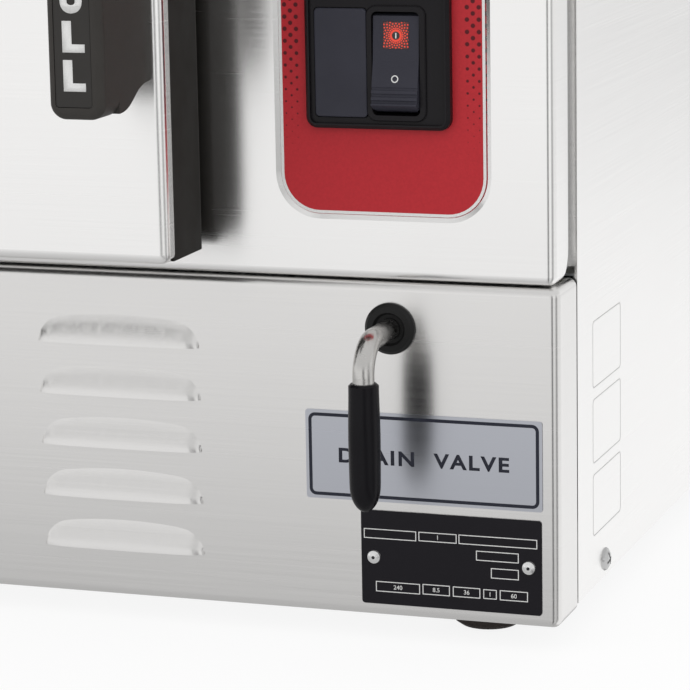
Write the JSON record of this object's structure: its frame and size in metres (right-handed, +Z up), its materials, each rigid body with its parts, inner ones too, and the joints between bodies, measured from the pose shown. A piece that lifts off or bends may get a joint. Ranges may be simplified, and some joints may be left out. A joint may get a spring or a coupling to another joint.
{
  "type": "convection steamer",
  "caption": "Countertop convection steamer: stainless cabinet with a side-hinged door, wire pan racks, rear fan and a pull-to-open drain lever.",
  "frame": {"origin": "on the counter, under the middle of the whole machine, the door handle and the rear drain pipe included", "axes": "+Z up, +X to the right as seen from the front, +Y from the door toward the back"},
  "size_m": [0.6148, 0.838, 0.498],
  "materials": {
    "case_steel": "brushed stainless",
    "tray_steel": "plain galvanised",
    "cavity_steel": "satin stainless",
    "wire_steel": "bright wire",
    "rod_steel": "polished bar",
    "element_steel": "dull, heated",
    "fan_metal": "satin",
    "motor_paint": "semi-gloss black",
    "blanket": "mineral fibre",
    "door_black": "satin black",
    "handle_black": "fine-grained charcoal",
    "inset_grey": "satin charcoal with white letters",
    "gasket_rubber": "matt silicone",
    "grommet_rubber": "semi-matt",
    "grip_vinyl": "semi-gloss",
    "foot_rubber": "matt",
    "overlay_red": "satin print with white and black border",
    "switch_black": "satin black",
    "plug_grey": "fine-grained",
    "lens_red": "clear red",
    "lamp_green": "domed lens",
    "lamp_amber": "domed lens",
    "knob_black": "satin with white pointer",
    "brass_cast": "cast",
    "copper_tube": "drawn",
    "pipe_steel": "black pipe",
    "valve_plastic": "moulded",
    "seal_rubber": "matt",
    "label_silver": "satin foil",
    "plate_black": "printed black",
    "rivet_metal": "satin",
    "screw_steel": "bright",
    "hinge_steel": "satin"
  },
  "bodies": {
    "case": {"base_tray": "tray_steel", "lower_front_panel": "case_steel", "front_frame": "case_steel", "right_side_panel": "case_steel", "left_side_panel": "case_steel", "top_panel": "case_steel", "back_panel": "case_steel", "deck_plate": "tray_steel", "cavity_liner": "cavity_steel", "insulation_wrap": "blanket", "sump_heater": "element_steel", "sump_pan": "cavity_steel", "cavity_roof": "cavity_steel", "drain_strainer": "cavity_steel", "pan_racks": "wire_steel", "rack_studs": "cavity_steel", "fan_guard": "cavity_steel", "fan_motor": "motor_paint", "hinge_brackets": "hinge_steel", "hinge_pins": "rod_steel", "latch_striker": "hinge_steel", "graphic_overlay": "overlay_red", "switch_frame": "switch_black", "blank_plug": "plug_grey", "switch_body": "switch_black", "timer_body": "switch_black", "ready_lamp": "lamp_green", "cooking_lamp": "lamp_amber", "lever_grommet": "grommet_rubber", "valve_body": "brass_cast", "valve_gland": "brass_cast", "drain_feed_pipe": "copper_tube", "drain_outlet_pipe": "pipe_steel", "fill_valve": "valve_plastic", "fill_tube": "copper_tube", "contactor": "switch_black", "drain_label": "label_silver", "data_plate": "plate_black", "plate_rivets": "rivet_metal", "case_screws": "screw_steel", "rubber_feet": "foot_rubber"},
    "door": {"door_skin": "case_steel", "door_frame": "door_black", "door_core": "blanket", "door_liner": "cavity_steel", "door_gasket": "gasket_rubber", "handle_bracket": "handle_black", "handle_cover": "handle_black", "handle_inset": "inset_grey", "hinge_leaves": "hinge_steel", "latch_catch": "hinge_steel"},
    "drain_lever": {"drain_lever_rod": "rod_steel", "lever_grip": "grip_vinyl", "valve_plunger": "seal_rubber"},
    "rocker": {"power_rocker": "switch_black", "rocker_lens": "lens_red"},
    "timer": {"timer_knob": "knob_black", "timer_shaft": "rod_steel"},
    "fan": {"convection_fan": "fan_metal", "motor_shaft": "rod_steel"}
  },
  "joints": [
    {"name": "door_hinge", "type": "hinge", "parent": "case", "child": "door", "pos_m": [-0.297, -0.328, 0.33125], "axis": [0, 0, -1], "range_deg": [0, 150]},
    {"name": "lever_slide", "type": "slide", "parent": "case", "child": "drain_lever", "axis": [0, -1, 0], "range_m": [0, 0.03]},
    {"name": "rocker_tilt", "type": "hinge", "parent": "case", "child": "rocker", "pos_m": [0.234, -0.3139, 0.2617], "axis": [1, 0, 0], "range_deg": [0, 16]},
    {"name": "timer_turn", "type": "hinge", "parent": "case", "child": "timer", "pos_m": [0.22595, -0.319, 0.4], "axis": [0, 1, 0], "range_deg": [0, 330]},
    {"name": "fan_spin", "type": "hinge", "parent": "case", "child": "fan", "pos_m": [-0.073, 0.24, 0.33125], "axis": [0, 1, 0], "continuous": true}
  ]
}
